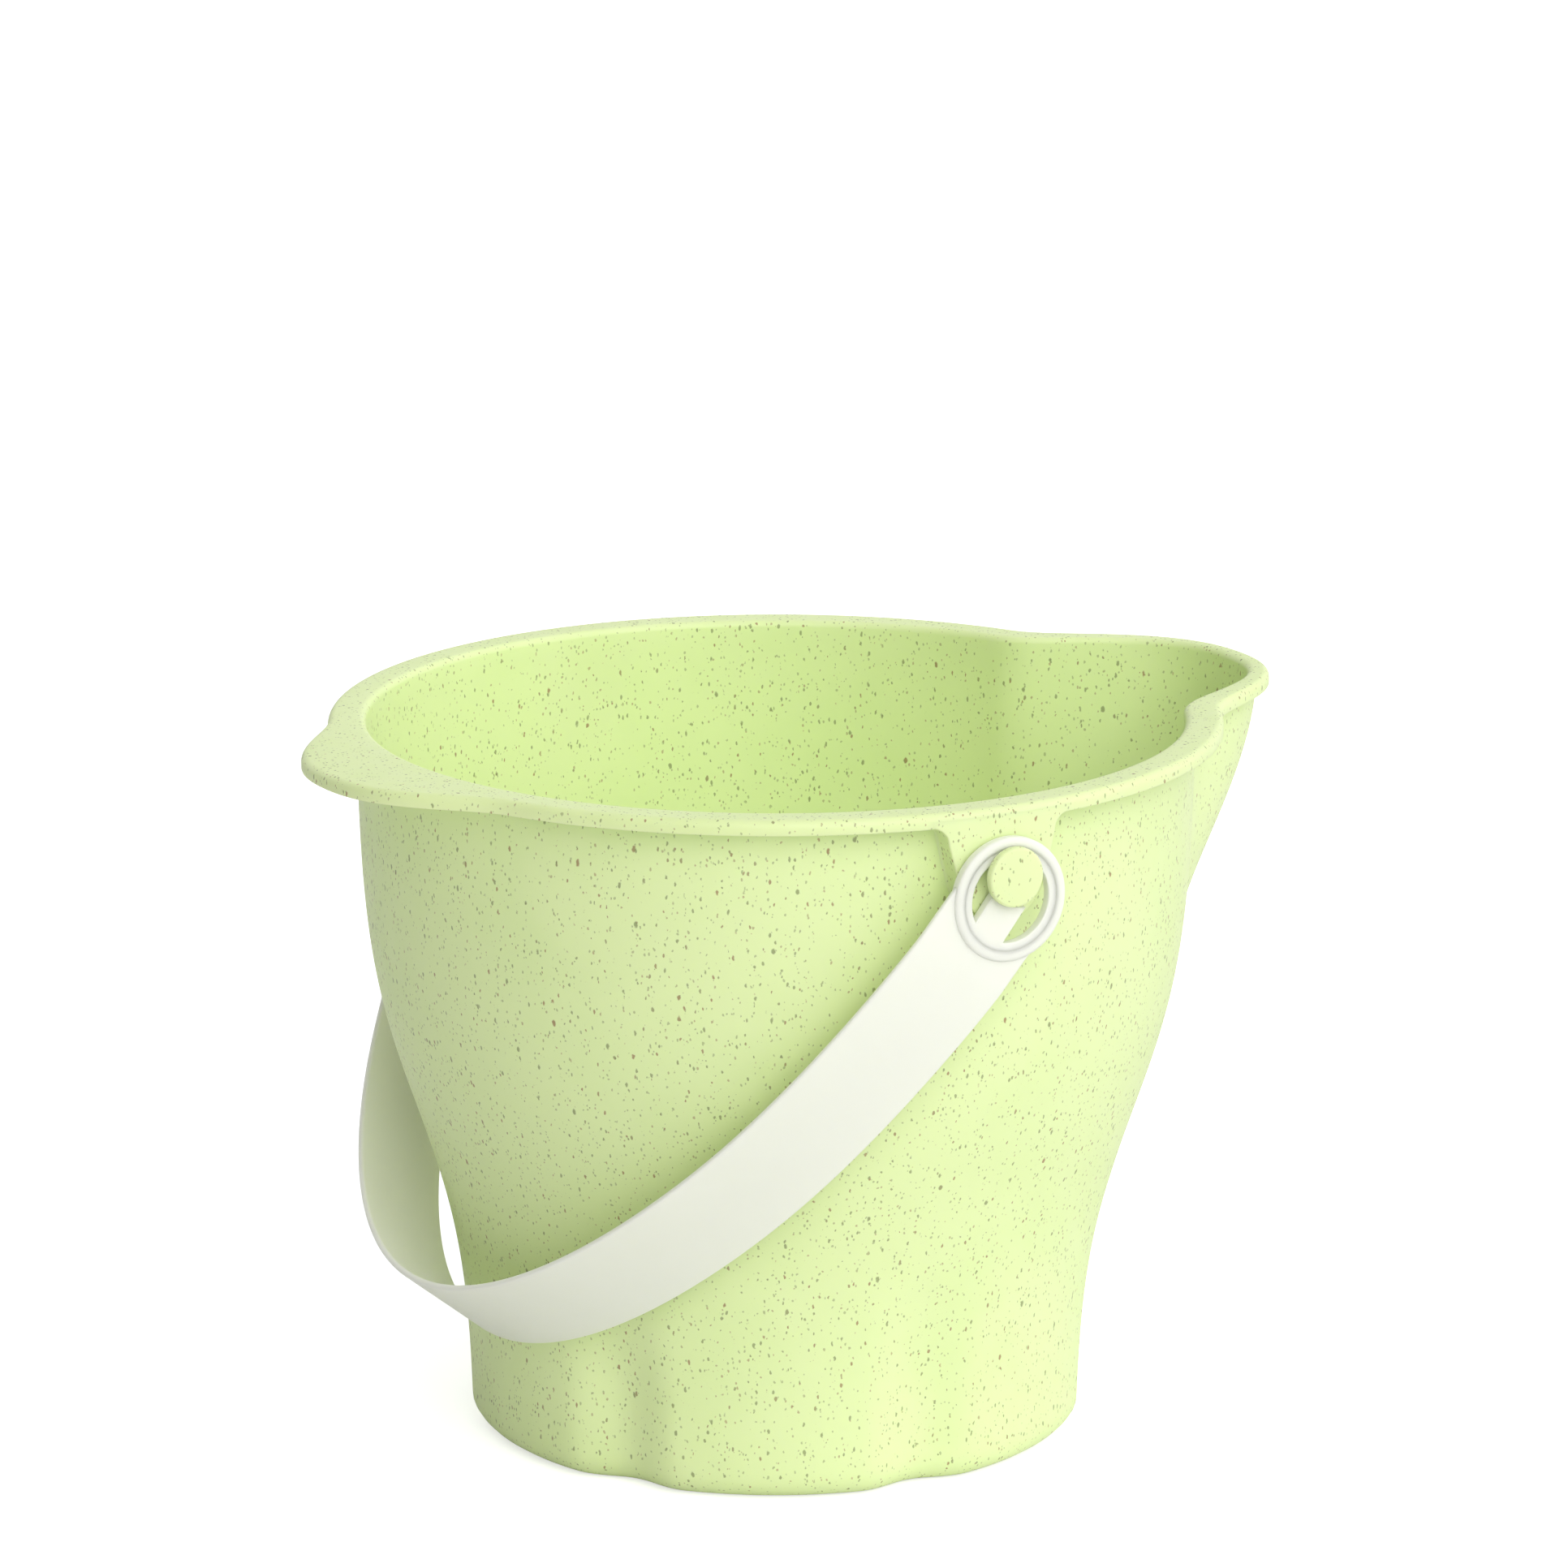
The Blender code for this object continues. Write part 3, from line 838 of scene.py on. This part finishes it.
@dataclass
class HingePost:
    """A pad under the flange and the mushroom-headed peg that stands on it."""

    shell: BucketShell
    side: Side
    peg_height: float = 0.1481
    neck_radius: float = 0.0036
    head_radius: float = 0.0066
    head_underside: float = 0.1036
    head_thickness: float = 0.0022
    head_round: float = 0.0007
    head_dome: float = 0.00025
    top_half_width: float = 0.0132
    pad_radius: float = 0.0108
    pad_fillet: float = 0.0038
    edge_round: float = 0.0004
    root_flare: float = 0.0009
    flush: float = 0.00001
    pad_round_start: float = 12.0      # degrees below level where the pad's lower round begins
    slope_parts: tuple[float, ...] = (0.2, 0.4, 0.6, 0.8)
    side_parts: tuple[float, ...] = (0.25, 0.5, 0.75)
    dome_parts: tuple[float, ...] = (0.12, 0.35, 0.6, 0.82)
    top_share: float = 0.15            # how far into the flange's thickness the pad's front runs
    flare_share: float = 0.84          # share of the way to the wall where the flare begins
    sunk: float = 0.00005              # how far the pad's root lies inside the wall
    lip_round: float = 0.0003          # under the head, at its edge and at the neck
    lip_overhang: float = 0.0004
    root_round: float = 0.0006         # where the neck meets the pad
    root_width: float = 0.0010
    root_depth: float = 0.0012
    fillet_steps: int = 12
    lower_steps: int = 48
    edge_steps: int = 4
    flare_steps: int = 6
    front_columns: int = 14
    peg_sides: int = 64

    @property
    def face(self) -> float:
        """Radius of the pad's face, level with the flange's edge."""
        return self.shell.shoulder_radius + self.shell.flange_reach + self.flush

    def outline(self) -> list[Point2]:
        """Outline of the pad from the flange down one side, round and up the other.

        Returns:
            (across, height) points.
        """
        low = self.shell.under - self.shell.flange_skirt
        fillet = self.pad_fillet
        wide = self.top_half_width + fillet
        right = arc(wide, low - fillet, fillet, 90.0, 180.0, self.fillet_steps)
        begin = -self.pad_round_start
        under = arc(0.0, self.peg_height, self.pad_radius, begin, -180.0 - begin, self.lower_steps)
        (xa, za), (xb, zb) = right[-1], under[0]
        half = right + [(xa + (xb - xa) * t, za + (zb - za) * t) for t in self.slope_parts]
        return half + under + [(-x, z) for x, z in reversed(half)]

    def _on_cylinder(self, across: float, height: float, radius: float) -> Point3:
        """Place a point that lies across and up on a cylinder about the bucket's axis.

        Args:
            across: distance along the curve from the peg's plane.
            height: metres above the underside.
            radius: the cylinder's radius.

        Returns:
            The point in the model's frame.
        """
        turn = across / self.face
        return (radius * math.sin(turn), self.side.value * radius * math.cos(turn), height)

    def _wall(self, across: float, height: float) -> float:
        """Radius of the bucket's wall behind a point of the pad."""
        angle = PEG_SIDE - math.degrees(across / self.face)
        return self.shell.outside(angle, min(height, self.shell.under))

    def build_pad(self) -> bpy.types.Object:
        """Build the pad with a rounded front edge and a flared root.

        Returns:
            The pad object.
        """
        maker = MeshMaker("hinge_pad_" + self.side.name.lower())
        outline = self.outline()
        normals = []
        for i in range(len(outline)):
            before, after = outline[max(i - 1, 0)], outline[min(i + 1, len(outline) - 1)]
            dx, dz = after[0] - before[0], after[1] - before[1]
            size = math.hypot(dx, dz)
            normals.append((-dz / size, dx / size))
        if normals[len(normals) // 2][1] > 0:
            normals = [(-x, -z) for x, z in normals]

        def row(offset: float, depth: float, to_wall: float = 0.0) -> list[Point3]:
            """Place one row of the pad's edge.

            Args:
                offset: distance outward from the outline.
                depth: distance below the face.
                to_wall: share of the way from there to the wall.

            Returns:
                The row's points.
            """
            found = []
            for (x, z), (nx, nz) in zip(outline, normals):
                px, pz = x + nx * offset, z + nz * offset
                wall = self._wall(px, pz) - self.sunk
                radius = (self.face - depth) * (1.0 - to_wall) + wall * to_wall
                found.append(self._on_cylinder(px, pz, max(radius, wall)))
            return found

        rounding, flare = self.edge_round, self.root_flare
        lip = arc(-rounding, rounding, rounding, 90.0, 0.0, self.edge_steps)
        rows = [row(x, 2 * rounding - y) for x, y in lip]
        rows += [row(0.0, rounding, part) for part in self.side_parts]
        for i in range(1, self.flare_steps + 1):
            turn = math.pi / 2 * i / self.flare_steps
            share = 1.0 - (1.0 - self.flare_share) * (1.0 - math.sin(turn))
            rows.append(row(flare * (1.0 - math.cos(turn)), rounding, share))
        front = maker.loft(rows, closed=False)[0]

        edge = [(x - nx * rounding, z - nz * rounding) for (x, z), (nx, nz) in zip(outline, normals)]
        count = self.front_columns
        lines = []
        for i in range(len(edge) // 2):
            (xa, za), (xb, zb) = edge[i], edge[-1 - i]
            between = [self._on_cylinder(xa + (xb - xa) * k / count, za + (zb - za) * k / count, self.face)
                       for k in range(1, count)]
            lines.append([front[i]] + maker.add_ring(between) + [front[-1 - i]])
        (xa, _), (xb, _) = edge[0], edge[-1]
        top = self.shell.under + self.shell.flange_thickness * self.top_share
        above = [self._on_cylinder(xa + (xb - xa) * k / count, top, self.face) for k in range(count + 1)]
        lines.insert(0, maker.add_ring(above))
        for here, after in zip(lines, lines[1:]):
            maker.bridge(here, after, closed=False)
        return maker.finish(CRISP_SMALL)

    def build_peg(self) -> bpy.types.Object:
        """Build the neck and its slightly domed round head.

        Returns:
            The peg object.
        """
        maker = MeshMaker("hinge_peg_" + self.side.name.lower())
        tip = self.head_underside + self.head_thickness
        flat = self.head_radius - self.head_round
        under, lip, foot = self.head_underside, self.lip_round, self.root_round
        profile = [(flat * part, tip - self.head_dome * part * part) for part in self.dome_parts]
        shoulder = tip - self.head_dome
        profile += arc(flat, shoulder - self.head_round, self.head_round, 90.0, 0.0, 6)
        profile += arc(flat + self.lip_overhang, under + lip, lip, 0.0, -90.0, 3)
        profile += [(self.neck_radius + lip, under)]
        profile += arc(self.neck_radius + lip, under - lip, lip, 90.0, 180.0, 3)
        profile += arc(self.neck_radius + foot, self.face + foot, foot, 180.0, 270.0, 4)
        buried = self.face - self.root_depth
        profile += [(self.neck_radius + self.root_width, buried)]

        def place(x: float, y: float, along: float) -> Point3:
            """Stand the turned shape on the hinge axis."""
            return (x, self.side.value * along, self.peg_height + y)

        rings = maker.loft(turned_rings(profile, self.peg_sides, place))
        maker.cap(rings[0], place(0.0, 0.0, tip))
        maker.cap(rings[-1], place(0.0, 0.0, buried))
        return maker.finish(CRISP_SMALL)

    def dress(self, pieces: Sequence[bpy.types.Object], finish: bpy.types.Material) -> None:
        """Give pad and peg their finish and their place in the model.

        Args:
            pieces: the pad and the peg.
            finish: the plastic.
        """
        for piece in pieces:
            piece.data.materials.append(finish)
            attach(piece, BodyName.BUCKET.value)


# ---------------------------------------------------------------------------------------------
# Handle
# ---------------------------------------------------------------------------------------------


@dataclass
class StrapHandle:
    """The ivory strap, hanging at rest on the finger tab's side, with a ring eye at each end."""

    peg_height: float = 0.1481
    eye_middle: float = 0.1016
    eye_drop: float = 0.00545
    hang: float = 51.8
    thickness: float = 0.0015
    width: float = 0.0250
    reach: float = 0.1342
    straight: float = 0.0160
    bow: float = 1.36
    lift: float = 0.0022
    lift_reach: float = 0.0900
    edge_round: float = 0.0006
    eye_radius: float = 0.0137
    eye_hole_radius: float = 0.0095
    eye_thickness: float = 0.0024
    bead_width: float = 0.0024
    bead_height: float = 0.0003
    tongue_width: float = 0.0086
    neck_radius: float = 0.0036
    tongue_clearance: float = 0.0028
    slot_round: float = 0.00030
    rim_share: float = 0.75            # share of the bead's width that the eye's flat plate runs under
    seat_share: float = 0.55           # share of it that the strap's end runs under
    pull_length: float = 0.032         # stretch of the strap that is hollowed to meet the eye
    face_parts: tuple[float, ...] = (0.66, 0.33, 0.0, -0.33, -0.66)
    bead_power: float = 0.8            # under 1 gives a fuller bead
    bead_sink: float = 0.0003          # the bead's inner edge below the plate's face
    bead_root: float = 0.0004          # and how far inside the bead it lies
    bead_gap: float = 0.0002
    rim_round: float = 0.0005
    back_round: float = 0.0004
    stations: int = 220
    corner_steps: int = 4
    hole_steps: int = 96
    tip_steps: int = 20
    bead_steps: int = 10
    plate_sides: int = 120
    bead_sides: int = 128

    @property
    def placing(self) -> Matrix:
        """Matrix from the handle's own axes, +X out along the strap, to the model's frame."""
        turn = Matrix.Rotation(math.pi - math.radians(self.hang), 4, "Y")
        return Matrix.Translation((0.0, 0.0, self.peg_height)) @ turn

    @property
    def eye_centre(self) -> Point2:
        """The eye's middle in the handle's own (out, down) axes."""
        hang = math.radians(self.hang)
        return self.eye_drop * math.sin(hang), self.eye_drop * math.cos(hang)

    def place(self, out: float, along: float, down: float) -> Point3:
        """Put a point, measured from the eye line, in the model's frame.

        Args:
            out: distance from the eye line along the strap's plane.
            along: distance along the hinge axis.
            down: distance across the strap's width.

        Returns:
            The point.
        """
        x, z = self.eye_centre
        return tuple(self.placing @ Vector((out + x, along, down + z)))

    def path(self) -> list[Point2]:
        """The strap's middle line.

        Returns:
            (out, along the hinge axis) points, evenly dense.
        """
        points = [(0.0, -self.eye_middle), (self.straight * 0.5, -self.eye_middle)]
        for i in range(self.stations * 2 + 1):
            turn = math.pi * i / (self.stations * 2)
            bow = (self.reach - self.straight) * math.sin(turn) ** self.bow
            points.append((self.straight + bow, -self.eye_middle * math.cos(turn)))
        return points + [(self.straight * 0.5, self.eye_middle), (0.0, self.eye_middle)]

    def leg_bow(self, distance: float) -> float:
        """Return how far the middle line bows up at a distance from the eye line."""
        part = min(distance / self.lift_reach, 1.0)
        return self.lift * math.sin(math.pi * part) * (1.0 - part)

    def cross_section(self) -> list[Point2]:
        """The strap's rounded section.

        Returns:
            (across the width, across the thickness) points, once round.
        """
        half_width, half_depth, r = self.width / 2, self.thickness / 2, self.edge_round
        steps = self.corner_steps
        points = arc(half_width - r, half_depth - r, r, 0.0, 90.0, steps)
        points += [(half_width * part, half_depth) for part in self.face_parts]
        points += arc(-half_width + r, half_depth - r, r, 90.0, 180.0, steps)
        points += arc(-half_width + r, -half_depth + r, r, 180.0, 270.0, steps)
        points += [(half_width * part, -half_depth) for part in reversed(self.face_parts)]
        points += arc(half_width - r, -half_depth + r, r, 270.0, 360.0, steps)
        return points

    def build_strap(self) -> bpy.types.Object:
        """Sweep the strap's section along its middle line, hollowing its ends to meet the eyes.

        Returns:
            The strap object.
        """
        maker = MeshMaker("strap_band")
        path = [Vector((x, y, 0.0)) for x, y in self.path()]
        runs = [0.0]
        for a, b in zip(path, path[1:]):
            runs.append(runs[-1] + (b - a).length)
        whole = runs[-1]
        section = self.cross_section()
        seat = self.eye_radius - self.bead_width * self.seat_share

        def at(run: float) -> tuple[Vector, Vector]:
            """Find a place on the middle line.

            Args:
                run: distance along it from its first end.

            Returns:
                The point, and the direction outward from the bucket there.
            """
            run = min(max(run, 0.0), whole)
            low, high = 0, len(runs) - 1
            while high - low > 1:
                mid = (low + high) // 2
                low, high = (mid, high) if runs[mid] <= run else (low, mid)
            part = (run - runs[low]) / max(runs[high] - runs[low], 1e-9)
            a = path[max(low - 1, 0)]
            b = path[min(high + 1, len(path) - 1)]
            way = (b - a).normalized()
            return path[low].lerp(path[high], part), Vector((way.y, -way.x, 0.0))

        rows = []
        for i in range(self.stations + 1):
            even = whole * i / self.stations
            from_end = min(even, whole - even)
            ring = []
            for wide, deep in section:
                start = math.sqrt(max(seat * seat - wide * wide, 0.0))
                pull = start * max(1.0 - from_end / self.pull_length, 0.0) ** 2
                run = even + pull if even < whole / 2 else even - pull
                point, outward = at(run)
                spot = point + outward * deep
                ring.append(self.place(spot.x, spot.y, wide - self.leg_bow(point.x)))
            rows.append(ring)
        rings = maker.loft(rows)
        for ring in (rings[0], rings[-1]):
            half = len(ring) // 2
            maker.bridge(ring[:half], ring[:half - 1:-1], closed=False)
        return maker.finish(CRISP_SMALL)

    def slot_outline(self) -> list[Point2]:
        """The eye's opening: a round hole with the snap tongue standing into it.

        Returns:
            (out, down) points about the eye's centre.
        """
        half = self.tongue_width / 2
        root = math.degrees(math.asin(half / self.eye_hole_radius))
        points = arc(0.0, 0.0, self.eye_hole_radius, root, 360.0 - root, self.hole_steps)
        hollow = self.neck_radius + self.tongue_clearance
        tip = math.degrees(math.asin(half / hollow))
        return points + arc(-self.eye_drop, 0.0, hollow, -tip, tip, self.tip_steps)

    def build_eye(self, side: Side) -> bpy.types.Object:
        """Build one ring eye with its raised bead and snap tongue.

        Args:
            side: which end of the strap.

        Returns:
            The eye object.
        """
        maker = MeshMaker("ring_eye_" + side.name.lower())
        half = self.eye_thickness / 2
        middle = side.value * self.eye_middle

        def place(x: float, y: float, along: float) -> Point3:
            """Stand the eye on its end of the hinge axis, its face outward."""
            return self.place(x, middle + side.value * along, y)

        rounding = self.slot_round
        wall = arc(rounding, half - rounding, rounding, 90.0, 180.0, self.corner_steps)
        wall += arc(rounding, rounding - half, rounding, 180.0, 270.0, self.corner_steps)
        slot = self.slot_outline()
        ways = outward_ways(slot)
        outlines = [[(x + wx * offset, y + wy * offset) for (x, y), (wx, wy) in zip(slot, ways)]
                    for offset, _ in wall]
        levels = [along for _, along in wall]
        walls = maker.loft([place(x, y, z) for x, y in outline] for outline, z in zip(outlines, levels))
        rim_radius = self.eye_radius - self.bead_width * self.rim_share
        rim = arc(0.0, 0.0, rim_radius, 0.0, 360.0, self.plate_sides)[:-1]
        for end, along in ((0, half), (-1, -half)):
            numbers = maker.add_ring(place(x, y, along) for x, y in rim) + walls[end]
            flat = [[Vector((x, y, 0.0)) for x, y in outline] for outline in (rim, outlines[end])]
            maker.faces.extend(tuple(numbers[i] for i in corner) for corner in tessellate_polygon(flat))
        maker.loft(turned_rings(self.bead_profile(), self.bead_sides, place))
        return maker.finish()

    def bead_profile(self) -> list[Point2]:
        """Section of the eye's raised bead, from its inner edge over the crown and round the back.

        Returns:
            (radius, along the hinge axis) points, the first and last alike.
        """
        half, outer = self.eye_thickness / 2, self.eye_radius
        inner = outer - self.bead_width
        root = (inner - self.bead_root, half - self.bead_sink)
        bead = [root, (inner, half)]
        for i in range(1, self.bead_steps):
            part = i / self.bead_steps
            swell = math.sin(math.pi * part) ** self.bead_power
            bead.append((inner + (outer - inner - self.bead_gap) * part, half + self.bead_height * swell))
        bead += arc(outer - self.rim_round, half - self.rim_round, self.rim_round, 60.0, 0.0, 3)
        bead += arc(outer - self.back_round, -half + self.back_round, self.back_round, 0.0, -90.0, 4)
        return bead + [(outer - self.bead_width / 2, -half), (inner - self.bead_root, -half), root]

    def dress(
        self, strap: bpy.types.Object, eyes: Sequence[bpy.types.Object], finish: bpy.types.Material
    ) -> None:
        """Give strap and eyes their finish and their place in the model.

        Args:
            strap: the strap.
            eyes: the ring eyes.
            finish: the plastic.
        """
        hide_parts("strap_handle")
        for piece in (strap, *eyes):
            piece.data.materials.append(finish)
            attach(piece, BodyName.HANDLE.value)


# ---------------------------------------------------------------------------------------------
# Studio
# ---------------------------------------------------------------------------------------------


@dataclass(frozen=True)
class FloorPaint:
    """Plain pale studio floor, lit from below like a light table but throwing little of that light upward."""

    colour: Colour = (0.85, 0.85, 0.85, 1.0)
    roughness: float = 0.75
    gloss: float = 0.2
    glow: float = 0.60

    def material(self, name: str) -> bpy.types.Material:
        """Build the finish.

        Args:
            name: the material's name.

        Returns:
            The material.
        """
        bench = NodeBench(name)
        bench.shader.inputs["Base Color"].default_value = self.colour
        bench.shader.inputs["Roughness"].default_value = self.roughness
        bench.shader.inputs["Specular IOR Level"].default_value = self.gloss
        bench.shader.inputs["Emission Color"].default_value = WHITE
        seen = bench.node("ShaderNodeLightPath").outputs["Is Camera Ray"]
        bench.wire(bench.math("MULTIPLY", seen, self.glow), bench.shader.inputs["Emission Strength"])
        return bench.material


@dataclass(frozen=True)
class SoftSun:
    """One wide, soft light."""

    name: str
    azimuth: float         # degrees to the right of the camera, seen from the bucket
    elevation: float
    strength: float
    spread: float          # degrees across
    colour: tuple[float, float, float] = (1.0, 1.0, 1.0)


@dataclass
class Studio:
    """Pale floor, even daylight, soft lights and the camera."""

    turn: float = -29.3    # the camera's place round the bucket, degrees from -Y
    distance: float = 1.800
    height: float = 0.593
    pitch: float = 13.95
    sidestep: float = 0.00185
    lens: float = 190.14
    sensor: float = 36.0
    nearest: float = 0.05
    farthest: float = 60.0
    floor_size: float = 30.0
    daylight: float = 0.86
    shade: float = 0.02            # daylight from the shaded side, where a dark screen stands
    shade_azimuth: float = -86.0
    shade_elevation: float = 10.0
    shade_rim: float = 0.10        # how squarely a direction faces the screen where it begins
    shade_core: float = 0.80       # and where it is darkest
    sun_distance: float = 2.0
    suns: tuple[SoftSun, ...] = (
        SoftSun("key_light", 16.0, 32.0, 1.16, 50.0, (1.0, 0.995, 0.975)),
        SoftSun("side_light", 82.0, 24.0, 0.40, 60.0),
        SoftSun("rim_light", -138.0, 22.0, 0.46, 40.0),
    )

    def build_floor(self) -> bpy.types.Object:
        """Lay the floor.

        Returns:
            None: the floor stays in the scene, but mark_backdrop hands nothing back.
        """
        maker = MeshMaker("studio_floor")
        half = self.floor_size / 2
        corners = ((-half, -half), (half, -half), (half, half), (-half, half))
        maker.faces.append(tuple(maker.add_ring((x, y, 0.0) for x, y in corners)))
        floor = maker.finish()
        floor.data.materials.append(FloorPaint().material("pale_floor"))
        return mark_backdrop(floor)

    def towards(self, azimuth: float, elevation: float) -> Vector:
        """Direction from the bucket.

        Args:
            azimuth: degrees to the right of the camera.
            elevation: degrees above level.

        Returns:
            A unit vector.
        """
        turn = math.radians(self.turn + azimuth)
        rise = math.radians(elevation)
        return Vector((math.sin(turn) * math.cos(rise), -math.cos(turn) * math.cos(rise), math.sin(rise)))

    def light(self) -> None:
        """Set the even daylight and hang the soft lights."""
        world = bpy.data.worlds.new("studio_daylight")
        world.use_nodes = True
        nodes, links = world.node_tree.nodes, world.node_tree.links
        nodes["Background"].inputs["Color"].default_value = WHITE
        facing = nodes.new("ShaderNodeVectorMath")
        facing.operation = "DOT_PRODUCT"
        facing.inputs[1].default_value = self.towards(self.shade_azimuth, self.shade_elevation)
        links.new(nodes.new("ShaderNodeTexCoord").outputs["Generated"], facing.inputs[0])
        screen = nodes.new("ShaderNodeMapRange")
        screen.interpolation_type = "SMOOTHSTEP"
        links.new(facing.outputs["Value"], screen.inputs[0])
        spans = (self.shade_rim, self.shade_core, self.daylight, self.shade)
        for index, value in enumerate(spans, start=1):
            screen.inputs[index].default_value = value
        links.new(screen.outputs[0], nodes["Background"].inputs["Strength"])
        bpy.context.scene.world = world
        for sun in self.suns:
            data = bpy.data.lights.new(sun.name, "SUN")
            data.energy = sun.strength
            data.angle = math.radians(sun.spread)
            data.color = sun.colour
            lamp = bpy.data.objects.new(sun.name, data)
            bpy.context.scene.collection.objects.link(lamp)
            way = self.towards(sun.azimuth, sun.elevation)
            lamp.rotation_euler = way.to_track_quat("Z", "Y").to_euler()
            lamp.location = way * self.sun_distance

    def aim(self) -> bpy.types.Object:
        """Place the camera.

        Returns:
            The camera object.
        """
        data = bpy.data.cameras.new("studio_camera")
        data.lens = self.lens
        data.sensor_width = self.sensor
        data.clip_start = self.nearest
        data.clip_end = self.farthest
        camera = bpy.data.objects.new("studio_camera", data)
        bpy.context.scene.collection.objects.link(camera)
        turn = math.radians(self.turn)
        right = Vector((math.cos(turn), math.sin(turn), 0.0))
        back = Vector((math.sin(turn), -math.cos(turn), 0.0))
        camera.location = back * self.distance + right * self.sidestep + Vector((0.0, 0.0, self.height))
        camera.rotation_euler = (math.radians(90.0 - self.pitch), 0.0, turn)
        bpy.context.scene.camera = camera
        return camera


def main() -> None:
    """Build the bucket, the handle and the studio, and report each piece."""
    logging.basicConfig(level=logging.INFO, format="%(name)s: %(message)s")
    bpy.context.scene.view_settings.view_transform = "Standard"
    studio = Studio()
    studio.aim()
    studio.build_floor()
    studio.light()
    LOG.info("studio ready")

    green = FibrePlastic().material("fibre_flecked_green")
    ivory = IvoryPlastic().material("satin_ivory")

    shell = BucketShell()
    skin = shell.dress(shell.build(), green)
    LOG.info("%s: %d faces", skin.name, len(skin.data.polygons))
    for side in Side:
        post = HingePost(shell, side)
        pad, peg = post.build_pad(), post.build_peg()
        post.dress((pad, peg), green)
        LOG.info("%s and %s: %d faces", pad.name, peg.name, len(pad.data.polygons) + len(peg.data.polygons))

    handle = StrapHandle()
    strap = handle.build_strap()
    eyes = [handle.build_eye(side) for side in Side]
    handle.dress(strap, eyes, ivory)
    LOG.info("%s and its eyes: %d faces", strap.name, sum(len(o.data.polygons) for o in (strap, *eyes)))


if __name__ == "__main__":
    main()
